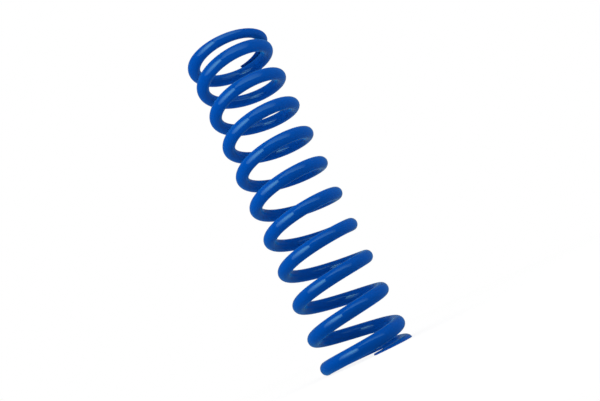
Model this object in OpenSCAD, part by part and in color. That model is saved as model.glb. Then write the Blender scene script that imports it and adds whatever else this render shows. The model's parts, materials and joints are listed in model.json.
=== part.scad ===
// Coilover spring: one length of round wire, wound right-handed around a damper's body.
// Both ends are closed down onto the next turn and ground flat, so the spring stands square on its seats.

/* [Coil] */
// Inside diameter, which slides over the damper's spring collar
inner_d = 64.5; // [50:0.5:90]
// Diameter of the wire
wire_d = 12.4; // [8:0.1:16]
// Free length, from ground face to ground face
free_length = 330; // [250:1:420]
// Turns of wire, from tip to tip
total_turns = 11.44; // [8:0.02:14]

/* [Lower end] */
// Thickness left at the tip by the grinding
lower_tip = 1.7; // [0.6:0.1:5]
// Gap between the closed turn and the turn above it
lower_gap = 2; // [0.1:0.1:4]
// Turns that stay closed, counted from the tip
lower_closed = 0.82; // [0.7:0.01:1.3]
// Turns over which the coil then opens to its full pitch
lower_opening = 0.42; // [0.3:0.01:0.8]

/* [Upper end] */
// Thickness left at the tip by the grinding
upper_tip = 1.2; // [0.6:0.1:5]
// Gap between the closed turn and the turn below it
upper_gap = 0.2; // [0.1:0.1:4]
// Turns that stay closed, counted from the tip
upper_closed = 0.89; // [0.7:0.01:1.3]
// Turns over which the coil then opens to its full pitch
upper_opening = 0.5; // [0.3:0.01:0.8]

/* [Hidden] */

// Facets around the wire, and sections along each turn
wire_sides = 16;
turn_sections = 32;

wire_r = wire_d / 2;
coil_r = inner_d / 2 + wire_r;
turn_length = 2 * PI * coil_r;
coat_blue = "#0e499b";

// Heights of the wire's centre line at its two tips, before grinding
lower_tip_z = lower_tip - wire_r;
upper_tip_z = free_length - upper_tip + wire_r;

// Rise per turn where an end is closed, and the turns that an end holds back from the full pitch
lower_rise = wire_d + lower_gap;
upper_rise = wire_d + upper_gap;
lower_slow = lower_closed + lower_opening / 2;
upper_slow = upper_closed + upper_opening / 2;

// Full pitch, which takes up the free length that the closed ends leave over
active_turns = total_turns - lower_slow - upper_slow;
pitch = (upper_tip_z - lower_tip_z - lower_rise * lower_slow - upper_rise * upper_slow) / active_turns;

// Smooth step from 0 to 1 as u runs from 0 to 1, and the area under it up to u
function step_up(u) = u <= 0 ? 0 : u >= 1 ? 1 : u * u * (3 - 2 * u);
function step_area(u) = u <= 0 ? 0 : u >= 1 ? u - 0.5 : u ^ 3 - u ^ 4 / 2;

// Rise per turn, and the height climbed, at t turns from a tip
function climb_rate(t, rise, closed, opening) =
    rise + (pitch - rise) * step_up((t - closed) / opening);
function climb(t, rise, closed, opening) =
    rise * t + (pitch - rise) * opening * step_area((t - closed) / opening);

// The same along the whole wire, with t counted from the lower tip
function wire_rate(t) =
    t < total_turns / 2
        ? climb_rate(t, lower_rise, lower_closed, lower_opening)
        : climb_rate(total_turns - t, upper_rise, upper_closed, upper_opening);
function wire_z(t) =
    t < total_turns / 2
        ? lower_tip_z + climb(t, lower_rise, lower_closed, lower_opening)
        : upper_tip_z - climb(total_turns - t, upper_rise, upper_closed, upper_opening);

// A point on the wire's skin, at angle a around a section square to the wire
function skin_point(t, a) =
    let (
        turn = 360 * t,
        lean = atan(wire_rate(t) / turn_length),
        out = coil_r + wire_r * cos(a),
        side = wire_r * sin(a) * sin(lean)
    )
    [
        out * cos(turn) + side * sin(turn),
        out * sin(turn) - side * cos(turn),
        wire_z(t) + wire_r * sin(a) * cos(lean)
    ];

// The wire as wound, with its round section swept from tip to tip
module wound_wire() {
    sections = ceil(total_turns * turn_sections);
    last = sections * wire_sides;
    points = [
        for (k = [0 : sections])
            for (i = [0 : wire_sides - 1])
                skin_point(total_turns * k / sections, 360 * i / wire_sides)
    ];
    skin = [
        for (k = [0 : sections - 1])
            for (i = [0 : wire_sides - 1])
                let (
                    a = k * wire_sides + i,
                    b = k * wire_sides + (i + 1) % wire_sides
                )
                each [[a, b, a + wire_sides], [b, b + wire_sides, a + wire_sides]]
    ];
    lower_cap = [for (i = [wire_sides - 1 : -1 : 0]) i];
    upper_cap = [for (i = [0 : wire_sides - 1]) last + i];
    polyhedron(points, concat([lower_cap], skin, [upper_cap]), convexity = 12);
}

// What the grinding wheel takes off at one end, from height z upwards
module grinding(z) {
    reach = 4 * coil_r;
    translate([-reach / 2, -reach / 2, z])
        cube([reach, reach, 2 * wire_d]);
}

// The finished spring
module coil_spring() {
    color(coat_blue)
        difference() {
            wound_wire();
            grinding(-2 * wire_d);
            grinding(free_length);
        }
}

coil_spring();
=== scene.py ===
"""A blue coilover spring on a white studio floor."""
import json
import math
from collections import namedtuple

import bmesh
import bpy
from mathutils import Euler, Matrix, Vector


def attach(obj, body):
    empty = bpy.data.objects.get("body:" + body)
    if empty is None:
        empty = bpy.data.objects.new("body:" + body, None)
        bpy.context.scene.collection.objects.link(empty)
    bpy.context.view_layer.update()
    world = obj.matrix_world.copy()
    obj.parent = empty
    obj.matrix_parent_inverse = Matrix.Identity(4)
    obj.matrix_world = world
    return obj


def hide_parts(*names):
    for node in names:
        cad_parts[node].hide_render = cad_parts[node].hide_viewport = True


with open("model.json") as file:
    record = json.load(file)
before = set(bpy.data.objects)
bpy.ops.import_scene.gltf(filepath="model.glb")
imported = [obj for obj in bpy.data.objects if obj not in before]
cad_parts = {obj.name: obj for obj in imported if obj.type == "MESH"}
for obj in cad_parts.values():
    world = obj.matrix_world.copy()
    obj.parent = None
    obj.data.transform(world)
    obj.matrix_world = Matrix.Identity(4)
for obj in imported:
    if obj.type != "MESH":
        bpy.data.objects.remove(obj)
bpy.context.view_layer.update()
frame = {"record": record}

MM = 0.001

# Main sizes, in metres, from the mounts: the coil's mean radius, its bore and its free length
mounts = {mount["name"]: mount for mount in frame["record"]["mounts"]}
coil_r = abs(mounts["lower_seat"]["pos_m"][0])
bore_r = mounts["collar_bore"]["dims"]["r_mm"] * MM
free_length = mounts["collar_bore"]["dims"]["length_mm"] * MM
wire_r = coil_r - bore_r
turn_length = 2 * math.pi * coil_r

# Turns of wire, from tip to tip
TOTAL_TURNS = 11.44

# An end of the coil: thickness that the grinding leaves at the tip, gap to the next turn,
# turns that stay closed, and turns over which the coil then opens to its full pitch
End = namedtuple("End", "tip gap closed opening")
LOWER = End(tip=1.7 * MM, gap=2.0 * MM, closed=0.82, opening=0.42)
UPPER = End(tip=1.2 * MM, gap=0.2 * MM, closed=0.89, opening=0.5)

# Rounding of the edges that the grinding leaves, and the most that it takes of a narrow flat's half
EDGE_ROUND = 0.35 * MM
EDGE_SHARE = 0.4

# Fineness of the mesh: sides round the wire, rings in a turn, steps on a rounded edge, and the
# distance within which points are joined
WIRE_SIDES = 44
TURN_STATIONS = 110
EDGE_STEPS = 3
MERGE = 0.001 * MM

# Coat: its colour at both ends of the mottle, the range of its roughness, its index of refraction,
# the tint of its gloss, its sheen at the rims, and the strength and height of its ripple
COAT_DEEP = (0, 0.063, 0.36, 1)
COAT_PALE = (0, 0.067, 0.38, 1)
COAT_ROUGHNESS = (0.04, 0.07)
COAT_IOR = 1.64
COAT_GLOSS_TINT = (0.4, 1, 1, 1)
SHEEN_WEIGHT = 0.4
SHEEN_ROUGHNESS = 0.36
SHEEN_TINT = (0.03, 0.45, 1, 1)
RIPPLE_STRENGTH = 0.1
RIPPLE_HEIGHT = 0.03 * MM

# Size of the mottle's features, and of those in the roughness and the ripple
MOTTLE_SIZE = 25 * MM
GRAIN_SIZE = 6 * MM

# Range that most of a noise texture's values lie in
NOISE_RANGE = (0.3, 0.7)

# Camera, in metres and degrees: its place around the coil's axis, where it looks, and its lens, which
# is in millimetres
CAMERA_AZIMUTH = -9.459
CAMERA_DISTANCE = 601.87 * MM
CAMERA_HEIGHT = 22.53 * MM
VIEW_HEADING = 170.156
VIEW_UP = 12.814
VIEW_ROLL = -24.968
LENS = 38.289

# A soft box: its middle, its turn about X, Y and Z in degrees, its width and height, and its
# brightness: level in the middle, slopes and curves across and along it, and how fast it fades
Softbox = namedtuple("Softbox", "place turn size level slopes curves fade")
KEY_BOX = Softbox(
    place=(242.6 * MM, -252.9 * MM, 204.0 * MM),
    turn=(92.3, -10.8, 19.3),
    size=(357.8 * MM, 572.8 * MM),
    level=2.75,
    slopes=(0.17, 0.02),
    curves=(-0.21, -1),
    fade=2.4,
)
HIGH_BOX = Softbox(
    place=(310.0 * MM, 251.1 * MM, 639.2 * MM),
    turn=(85.7, 13.95, 72.8),
    size=(567.8 * MM, 910.0 * MM),
    level=0.23,
    slopes=(-0.25, -0.8),
    curves=(-0.2, 0),
    fade=2.6,
)

# Light of the room around: an even level, and a soft band of bright walls all around the view. The
# band's place is how far it lies from the camera's end, at -1, to the end behind the spring, at 1
ROOM_LEVEL = 0.32
BAND_LEVEL = 1.5
BAND_PLACE = 0.15
BAND_WIDTH = 0.45

# The same room as the gloss shows it, which is darker: its mean brightness, how much it grows towards
# its lighter side, and the glow of the white backdrop behind the spring, with how narrow it is
GLOSS_LEVEL = 0.04
GLOSS_SLOPE = 0.036
GLOSS_LIGHT_SIDE = (-0.359, 0.895, 0.264)
BACKDROP_GLOW = 0.1
BACKDROP_FOCUS = 14

# Floor: its radius, the radius within which it stays plain, its sides and its paint, and the share
# of plain white in what is seen of it
FLOOR_RADIUS = 1.5
FLOOR_PLAIN = 0.5
FLOOR_SIDES = 96
FLOOR_PAINT = (0.9, 0.9, 0.9, 1)
FLOOR_GLOW = 0.86


def step_up(u):
    """Smooth step from 0 to 1 as u runs from 0 to 1."""
    u = min(max(u, 0), 1)
    return u * u * (3 - 2 * u)


def step_area(u):
    """Area under the smooth step, up to u."""
    if u <= 0:
        return 0
    if u >= 1:
        return u - 0.5
    return u ** 3 - u ** 4 / 2


def closed_rise(end):
    """Rise in a turn where the end is closed."""
    return 2 * wire_r + end.gap


def slow_turns(end):
    """Turns that the end holds back from the full pitch."""
    return end.closed + end.opening / 2


def full_pitch():
    """Rise in a turn between the ends, which takes up the free length that they leave over."""
    height = free_length - LOWER.tip - UPPER.tip + 2 * wire_r
    turns = TOTAL_TURNS
    for end in (LOWER, UPPER):
        height -= closed_rise(end) * slow_turns(end)
        turns -= slow_turns(end)
    return height / turns


pitch = full_pitch()


def wire_height(end, turns):
    """Height of the wire's centre above the end's ground face, so many turns from its tip."""
    rise = closed_rise(end)
    opened = step_area((turns - end.closed) / end.opening)
    return end.tip - wire_r + rise * turns + (pitch - rise) * end.opening * opened


def wire_lean(end, turns):
    """Slope of the wire there, as an angle."""
    rise = closed_rise(end)
    opened = step_up((turns - end.closed) / end.opening)
    return math.atan((rise + (pitch - rise) * opened) / turn_length)


def ground_turns(end):
    """Turns from the tip at which the ground face runs out."""
    top = wire_r * math.cos(wire_lean(end, 0))
    return (top + wire_r - end.tip) / closed_rise(end)


def rounded_corner(start, corner, stop):
    """Points on a curve from start towards stop that rounds off a corner, without stop itself."""
    points = []
    for step in range(EDGE_STEPS):
        u = step / EDGE_STEPS
        points.append((1 - u) ** 2 * start + 2 * u * (1 - u) * corner + u * u * stop)
    return points


def section(end, turns):
    """Outline of the wire's section, out and up from its centre, from one edge of the ground face
    over the round of the wire to the other edge. Where nothing is ground off, both edges meet."""
    cut = max(-wire_r, -wire_height(end, turns) / math.cos(wire_lean(end, turns)))
    corner_angle = math.asin(cut / wire_r)
    half_flat = wire_r * math.cos(corner_angle)
    edge = min(EDGE_ROUND, EDGE_SHARE * half_flat)
    first = corner_angle + edge / wire_r
    arc = []
    for side in range(WIRE_SIDES + 1):
        angle = first + (math.pi - 2 * first) * side / WIRE_SIDES
        arc.append(Vector((wire_r * math.cos(angle), wire_r * math.sin(angle))))
    corner = Vector((half_flat, cut))
    outer = rounded_corner(corner - Vector((edge, 0)), corner, arc[0])
    inner = [Vector((-point.x, point.y)) for point in reversed(outer)]
    return outer + arc + inner


def inset(outline, depth):
    """The outline, drawn in by a depth on all sides."""
    low = Vector((min(p.x for p in outline), min(p.y for p in outline)))
    high = Vector((max(p.x for p in outline), max(p.y for p in outline)))
    middle = (low + high) / 2
    half = (high - low) / 2
    scale = Vector((1 - depth / half.x, 1 - depth / half.y))
    return [middle + (point - middle) * scale for point in outline]


def ring(end, turns, outline):
    """The outline's points in space, square to the wire at so many turns from the tip."""
    angle = 2 * math.pi * turns
    lean = wire_lean(end, turns)
    out = Vector((math.cos(angle), math.sin(angle), 0))
    along = Vector((-math.sin(angle), math.cos(angle), 0))
    up = Vector((0, 0, math.cos(lean))) - along * math.sin(lean)
    centre = out * coil_r + Vector((0, 0, wire_height(end, turns)))
    return [centre + out * point.x + up * point.y for point in outline]


def stations(end):
    """Turns from the tip at which the wire has a ring of points, up to where the flat runs out and
    from there to the coil's middle."""
    flat = ground_turns(end)
    half = TOTAL_TURNS / 2
    flat_steps = math.ceil(flat * TURN_STATIONS)
    open_steps = math.ceil((half - flat) * TURN_STATIONS)
    ground = [flat * step / flat_steps for step in range(1, flat_steps)]
    round_part = [flat + (half - flat) * step / open_steps for step in range(open_steps + 1)]
    return ground, round_part


def tip_rings(end):
    """Rings that round off the wire's end, from its end face to the full section."""
    rings = []
    for step in range(EDGE_STEPS + 1):
        angle = math.pi / 2 * (1 - step / EDGE_STEPS)
        turns = EDGE_ROUND * (1 - math.sin(angle)) / turn_length
        outline = inset(section(end, turns), EDGE_ROUND * (1 - math.cos(angle)))
        rings.append(ring(end, turns, outline))
    return rings


def half_coil(mesh, end, place):
    """Half of the coil, from its tip on +X and its ground face at height 0, put in its place."""
    ground, round_part = stations(end)
    rings = tip_rings(end)
    rings += [ring(end, turns, section(end, turns)) for turns in ground]
    flat_rings = len(rings)
    rings += [ring(end, turns, section(end, turns)) for turns in round_part]
    rows = [[mesh.verts.new(place @ point) for point in points] for points in rings]
    for index, (row, following) in enumerate(zip(rows, rows[1:])):
        for side in range(len(row) - 1):
            face = mesh.faces.new((row[side], row[side + 1], following[side + 1], following[side]))
            face.smooth = True
        if index < flat_rings:
            mesh.faces.new((row[0], following[0], following[-1], row[-1]))
    mesh.faces.new(rows[0])


def spring():
    """The whole spring: two half coils, the upper one turned over and joined at the middle."""
    mesh = bmesh.new()
    half_coil(mesh, LOWER, Matrix.Identity(4))
    upper_tip_turn = Matrix.Rotation(2 * math.pi * TOTAL_TURNS, 4, "Z")
    turned_over = Matrix.Rotation(math.pi, 4, "X")
    half_coil(mesh, UPPER, Matrix.Translation((0, 0, free_length)) @ upper_tip_turn @ turned_over)
    bmesh.ops.remove_doubles(mesh, verts=mesh.verts, dist=MERGE)
    bmesh.ops.recalc_face_normals(mesh, faces=mesh.faces)
    data = bpy.data.meshes.new("spring_coil")
    mesh.to_mesh(data)
    mesh.free()
    piece = bpy.data.objects.new("spring_coil", data)
    bpy.context.scene.collection.objects.link(piece)
    return piece


def empty_tree(owner):
    """The emptied node tree of a material, a light or a world."""
    owner.use_nodes = True
    owner.node_tree.nodes.clear()
    return owner.node_tree


def show(tree, output_type, surface):
    """Lead a shader to a new output node of this type."""
    output = tree.nodes.new(output_type)
    tree.links.new(surface, output.inputs["Surface"])


def feed(tree, socket, value):
    """Set a socket to a number, or link another node's output to it."""
    if isinstance(value, (int, float)):
        socket.default_value = value
    else:
        tree.links.new(value, socket)


def math_node(tree, operation, *values):
    """A math node on values, each a number or another node's output."""
    node = tree.nodes.new("ShaderNodeMath")
    node.operation = operation
    for socket, value in zip(node.inputs, values):
        feed(tree, socket, value)
    return node.outputs["Value"]


def blend(tree, share, first, second):
    """The first value, or the second where the share is 1. Each is a number or a node's output."""
    node = tree.nodes.new("ShaderNodeMix")
    feed(tree, node.inputs["Factor"], share)
    feed(tree, node.inputs["A"], first)
    feed(tree, node.inputs["B"], second)
    return node.outputs["Result"]


def dot(tree, vector, weights):
    """The sum of a vector's parts, each times its weight."""
    node = tree.nodes.new("ShaderNodeVectorMath")
    node.operation = "DOT_PRODUCT"
    tree.links.new(vector, node.inputs[0])
    node.inputs[1].default_value = weights
    return node.outputs["Value"]


def noise(tree, coordinates, size):
    """A noise texture with features about so many metres apart."""
    texture = tree.nodes.new("ShaderNodeTexNoise")
    texture.inputs["Scale"].default_value = 1 / size
    tree.links.new(coordinates, texture.inputs["Vector"])
    return texture.outputs["Fac"]


def spread(tree, value, low, high):
    """A noise value, spread over a range."""
    remap = tree.nodes.new("ShaderNodeMapRange")
    remap.inputs["From Min"].default_value = NOISE_RANGE[0]
    remap.inputs["From Max"].default_value = NOISE_RANGE[1]
    remap.inputs["To Min"].default_value = low
    remap.inputs["To Max"].default_value = high
    tree.links.new(value, remap.inputs["Value"])
    return remap.outputs["Result"]


def mottle(tree, place):
    """The coat's colour, which wanders a little between two blues."""
    tint = tree.nodes.new("ShaderNodeMix")
    tint.data_type = "RGBA"
    tint.inputs["A"].default_value = COAT_DEEP
    tint.inputs["B"].default_value = COAT_PALE
    share = spread(tree, noise(tree, place, MOTTLE_SIZE), 0, 1)
    tree.links.new(share, tint.inputs["Factor"])
    return tint.outputs["Result"]


def ripple(tree, place):
    """Normals of the coat's slight ripple."""
    bump = tree.nodes.new("ShaderNodeBump")
    bump.inputs["Strength"].default_value = RIPPLE_STRENGTH
    bump.inputs["Distance"].default_value = RIPPLE_HEIGHT
    tree.links.new(noise(tree, place, GRAIN_SIZE), bump.inputs["Height"])
    return bump.outputs["Normal"]


def blue_coat():
    """Glossy baked blue coat, with a faint mottle in its colour and gloss, a slight ripple and a sheen
    at its rims."""
    material = bpy.data.materials.new("blue_coat")
    tree = empty_tree(material)
    place = tree.nodes.new("ShaderNodeTexCoord").outputs["Object"]
    roughness = spread(tree, noise(tree, place, GRAIN_SIZE), *COAT_ROUGHNESS)
    shader = tree.nodes.new("ShaderNodeBsdfPrincipled")
    shader.inputs["IOR"].default_value = COAT_IOR
    shader.inputs["Specular Tint"].default_value = COAT_GLOSS_TINT
    shader.inputs["Sheen Weight"].default_value = SHEEN_WEIGHT
    shader.inputs["Sheen Roughness"].default_value = SHEEN_ROUGHNESS
    shader.inputs["Sheen Tint"].default_value = SHEEN_TINT
    tree.links.new(mottle(tree, place), shader.inputs["Base Color"])
    tree.links.new(roughness, shader.inputs["Roughness"])
    tree.links.new(ripple(tree, place), shader.inputs["Normal"])
    show(tree, "ShaderNodeOutputMaterial", shader.outputs["BSDF"])
    return material


def box_place(tree):
    """Place on a soft box's front, from -1 to 1 across and along it, and the same squared."""
    centred = tree.nodes.new("ShaderNodeVectorMath")
    centred.operation = "MULTIPLY_ADD"
    tree.links.new(tree.nodes.new("ShaderNodeNewGeometry").outputs["Parametric"], centred.inputs[0])
    centred.inputs[1].default_value = (2, 2, 0)
    centred.inputs[2].default_value = (-1, -1, 0)
    squares = tree.nodes.new("ShaderNodeVectorMath")
    squares.operation = "MULTIPLY"
    tree.links.new(centred.outputs["Vector"], squares.inputs[0])
    tree.links.new(centred.outputs["Vector"], squares.inputs[1])
    return centred.outputs["Vector"], squares.outputs["Vector"]


def softbox_glow(light, box):
    """Brightness across a soft box's front, as the box says."""
    tree = empty_tree(light)
    place, squares = box_place(tree)
    slope = dot(tree, place, (*box.slopes, 0))
    curve = dot(tree, squares, (*box.curves, 0))
    share = math_node(tree, "ADD", math_node(tree, "ADD", slope, curve), 1)
    share = math_node(tree, "POWER", math_node(tree, "MAXIMUM", share, 0), box.fade)
    glow = tree.nodes.new("ShaderNodeEmission")
    tree.links.new(math_node(tree, "MULTIPLY", share, box.level), glow.inputs["Strength"])
    show(tree, "ShaderNodeOutputLight", glow.outputs["Emission"])


def softbox(name, box):
    """A flat soft box, out of the camera's sight, with the power at which a level of 1 shows as 1."""
    light = bpy.data.lights.new(name, "AREA")
    light.shape = "RECTANGLE"
    light.size, light.size_y = box.size
    light.energy = math.pi * light.size * light.size_y
    softbox_glow(light, box)
    lamp = bpy.data.objects.new(name, light)
    lamp.location = box.place
    lamp.rotation_euler = Euler([math.radians(angle) for angle in box.turn])
    lamp.visible_camera = False
    bpy.context.scene.collection.objects.link(lamp)


def background_rays(tree):
    """1 for the rays that show the background straight, and for those that show it in a mirror or
    glass. Both are 0 for light."""
    path = tree.nodes.new("ShaderNodeLightPath")
    glossy = path.outputs["Is Glossy Ray"]
    mirrored = math_node(tree, "ADD", glossy, path.outputs["Is Transmission Ray"])
    return path.outputs["Is Camera Ray"], mirrored


def room_light(tree, facing):
    """Light that the room gives: an even level and the band of bright walls."""
    away = math_node(tree, "SUBTRACT", facing, BAND_PLACE)
    square = math_node(tree, "MULTIPLY", away, away)
    band = math_node(tree, "POWER", math.e, math_node(tree, "DIVIDE", square, -BAND_WIDTH ** 2))
    return math_node(tree, "MULTIPLY_ADD", band, BAND_LEVEL, ROOM_LEVEL)


def room_in_gloss(tree, direction, facing):
    """The room as the gloss shows it: dim, lighter on one side, with a glow of the backdrop."""
    lighter = dot(tree, direction, GLOSS_LIGHT_SIDE)
    walls = math_node(tree, "MULTIPLY_ADD", lighter, GLOSS_SLOPE, GLOSS_LEVEL)
    backdrop = math_node(tree, "POWER", math_node(tree, "MAXIMUM", facing, 0), BACKDROP_FOCUS)
    return math_node(tree, "MULTIPLY_ADD", backdrop, BACKDROP_GLOW, walls)


def room(view_direction):
    """A plain room with a white backdrop behind the spring, and white in the camera's own sight."""
    world = bpy.data.worlds.new("studio_room")
    bpy.context.scene.world = world
    tree = empty_tree(world)
    seen, mirrored = background_rays(tree)
    direction = tree.nodes.new("ShaderNodeTexCoord").outputs["Generated"]
    facing = dot(tree, direction, view_direction)
    level = blend(tree, mirrored, room_light(tree, facing), room_in_gloss(tree, direction, facing))
    background = tree.nodes.new("ShaderNodeBackground")
    background.inputs["Color"].default_value = (1, 1, 1, 1)
    tree.links.new(blend(tree, seen, level, 1), background.inputs["Strength"])
    show(tree, "ShaderNodeOutputWorld", background.outputs["Background"])


def floor_fade(tree):
    """Share of plain white in what is seen of the floor, which grows to all of it far out."""
    reach = tree.nodes.new("ShaderNodeVectorMath")
    reach.operation = "LENGTH"
    tree.links.new(tree.nodes.new("ShaderNodeTexCoord").outputs["Object"], reach.inputs[0])
    fade = tree.nodes.new("ShaderNodeMapRange")
    fade.interpolation_type = "SMOOTHSTEP"
    fade.inputs["From Min"].default_value = FLOOR_PLAIN
    fade.inputs["From Max"].default_value = FLOOR_RADIUS
    fade.inputs["To Min"].default_value = FLOOR_GLOW
    tree.links.new(reach.outputs["Value"], fade.inputs["Value"])
    return fade.outputs["Result"]


def floor_white():
    """Plain white floor that shows a soft shadow and fades into the background far out."""
    material = bpy.data.materials.new("floor_white")
    tree = empty_tree(material)
    seen, mirrored = background_rays(tree)
    shown = math_node(tree, "ADD", seen, mirrored)
    paint = tree.nodes.new("ShaderNodeBsdfDiffuse")
    paint.inputs["Color"].default_value = FLOOR_PAINT
    glow = tree.nodes.new("ShaderNodeEmission")
    surface = tree.nodes.new("ShaderNodeMixShader")
    tree.links.new(math_node(tree, "MULTIPLY", shown, floor_fade(tree)), surface.inputs["Fac"])
    tree.links.new(paint.outputs["BSDF"], surface.inputs[1])
    tree.links.new(glow.outputs["Emission"], surface.inputs[2])
    show(tree, "ShaderNodeOutputMaterial", surface.outputs["Shader"])
    return material


def floor():
    """The floor that the spring stands on, which neither shows in its gloss nor lights or shades it."""
    bpy.ops.mesh.primitive_circle_add(vertices=FLOOR_SIDES, radius=FLOOR_RADIUS, fill_type="NGON")
    disc = bpy.context.object
    disc.name = "studio_floor"
    disc.data.materials.append(floor_white())
    disc.visible_glossy = False
    disc.visible_shadow = False
    disc.visible_diffuse = False


def camera():
    """The camera at the photograph's viewing angle. Returns the direction in which it looks."""
    data = bpy.data.cameras.new("camera")
    data.lens = LENS
    taker = bpy.data.objects.new("camera", data)
    azimuth = math.radians(CAMERA_AZIMUTH)
    place = Vector((math.cos(azimuth), math.sin(azimuth), 0)) * CAMERA_DISTANCE
    place.z = CAMERA_HEIGHT
    # An unturned camera looks down, with its top towards +Y
    heading = Matrix.Rotation(math.radians(VIEW_HEADING - 90), 4, "Z")
    tilt = Matrix.Rotation(math.radians(90 + VIEW_UP), 4, "X")
    roll = Matrix.Rotation(math.radians(VIEW_ROLL), 4, "Z")
    turn = heading @ tilt @ roll
    taker.matrix_world = Matrix.Translation(place) @ turn
    bpy.context.scene.collection.objects.link(taker)
    bpy.context.scene.camera = taker
    return turn.to_3x3() @ Vector((0, 0, -1))


coil = spring()
coil.data.materials.append(blue_coat())
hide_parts("coil_spring")
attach(coil, "root")

view_direction = camera()
room(view_direction)
softbox("key_softbox", KEY_BOX)
softbox("high_softbox", HIGH_BOX)
floor()
bpy.context.scene.view_settings.view_transform = "Standard"
